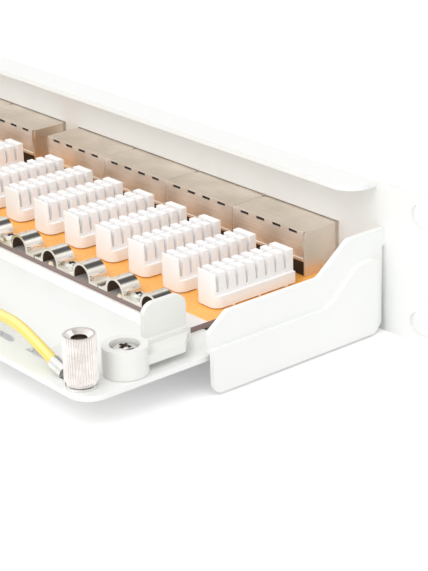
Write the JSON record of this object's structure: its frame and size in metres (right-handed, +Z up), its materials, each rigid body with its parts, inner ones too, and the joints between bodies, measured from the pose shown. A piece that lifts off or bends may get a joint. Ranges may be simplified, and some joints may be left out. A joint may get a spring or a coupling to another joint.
{
  "type": "patch panel",
  "caption": "Rack-mounted shielded patch panel: folded steel channel with rows of jacks, punch-down blocks on orange boards, cable clamps, a tie-down tray and an earth lead.",
  "frame": {"origin": "centre of the four rack slots, on the rear face of the front panel", "axes": "+X to the right along the panel seen from its front, +Y back into the rack, +Z up"},
  "size_m": [0.4826, 0.1061, 0.044],
  "materials": {
    "powder_coated_steel": "near-white smooth satin powder coat on folded sheet steel",
    "circuit_board": "orange lacquered glass-fibre board",
    "nickel_shield": "dull nickel-plated thin sheet",
    "black_moulding": "black moulded plastic",
    "white_moulding": "white moulded plastic, slightly shiny",
    "spring_clamp": "bright nickel-plated spring steel",
    "plated_screw": "bright zinc-plated steel",
    "latch_moulding": "white moulded plastic",
    "earth_stud": "plated steel",
    "knurled_nut": "nickel-plated, straight knurl",
    "tinned_lug": "tinned copper",
    "wire_sheath": "yellow soft plastic sheath with a green trace"
  },
  "bodies": {
    "panel": {"front_panel": "powder_coated_steel", "rear_tray": "powder_coated_steel", "side_bracket_left": "powder_coated_steel", "side_bracket_right": "powder_coated_steel", "circuit_board_1": "circuit_board", "circuit_board_2": "circuit_board", "circuit_board_3": "circuit_board", "jack_shields_1": "nickel_shield", "jack_shields_2": "nickel_shield", "jack_shields_3": "nickel_shield", "jack_insert_01": "black_moulding", "jack_insert_02": "black_moulding", "jack_insert_03": "black_moulding", "jack_insert_04": "black_moulding", "jack_insert_05": "black_moulding", "jack_insert_06": "black_moulding", "jack_insert_07": "black_moulding", "jack_insert_08": "black_moulding", "jack_insert_09": "black_moulding", "jack_insert_10": "black_moulding", "jack_insert_11": "black_moulding", "jack_insert_12": "black_moulding", "punch_block_01": "white_moulding", "punch_block_02": "white_moulding", "punch_block_03": "white_moulding", "punch_block_04": "white_moulding", "punch_block_05": "white_moulding", "punch_block_06": "white_moulding", "punch_block_07": "white_moulding", "punch_block_08": "white_moulding", "punch_block_09": "white_moulding", "punch_block_10": "white_moulding", "punch_block_11": "white_moulding", "punch_block_12": "white_moulding", "punch_block_13": "white_moulding", "punch_block_14": "white_moulding", "punch_block_15": "white_moulding", "punch_block_16": "white_moulding", "punch_block_17": "white_moulding", "punch_block_18": "white_moulding", "punch_block_19": "white_moulding", "punch_block_20": "white_moulding", "punch_block_21": "white_moulding", "punch_block_22": "white_moulding", "punch_block_23": "white_moulding", "punch_block_24": "white_moulding", "clamp_strip_1": "spring_clamp", "clamp_strip_2": "spring_clamp", "clamp_strip_3": "spring_clamp", "clamp_screws": "plated_screw", "latch_screws": "plated_screw", "ground_stud": "earth_stud", "earth_lug": "tinned_lug", "earth_lug_far": "tinned_lug", "earth_wire": "wire_sheath", "earth_wire_hank": "wire_sheath"},
    "latch_left": {"latch_left": "latch_moulding"},
    "latch_right": {"latch_right": "latch_moulding"},
    "earth_nut": {"earth_nut": "knurled_nut"}
  },
  "joints": [
    {"name": "latch_left_swing", "type": "hinge", "parent": "panel", "child": "latch_left", "pos_m": [-0.209, 0.0855, -0.0109], "axis": [0, 0, 1], "range_deg": [0, 90]},
    {"name": "latch_right_swing", "type": "hinge", "parent": "panel", "child": "latch_right", "pos_m": [0.209, 0.0855, -0.0109], "axis": [0, 0, -1], "range_deg": [0, 90]},
    {"name": "earth_nut_spin", "type": "hinge", "parent": "panel", "child": "earth_nut", "pos_m": [-0.208, 0.0988, -0.01], "axis": [0, 0, 1], "continuous": true}
  ]
}
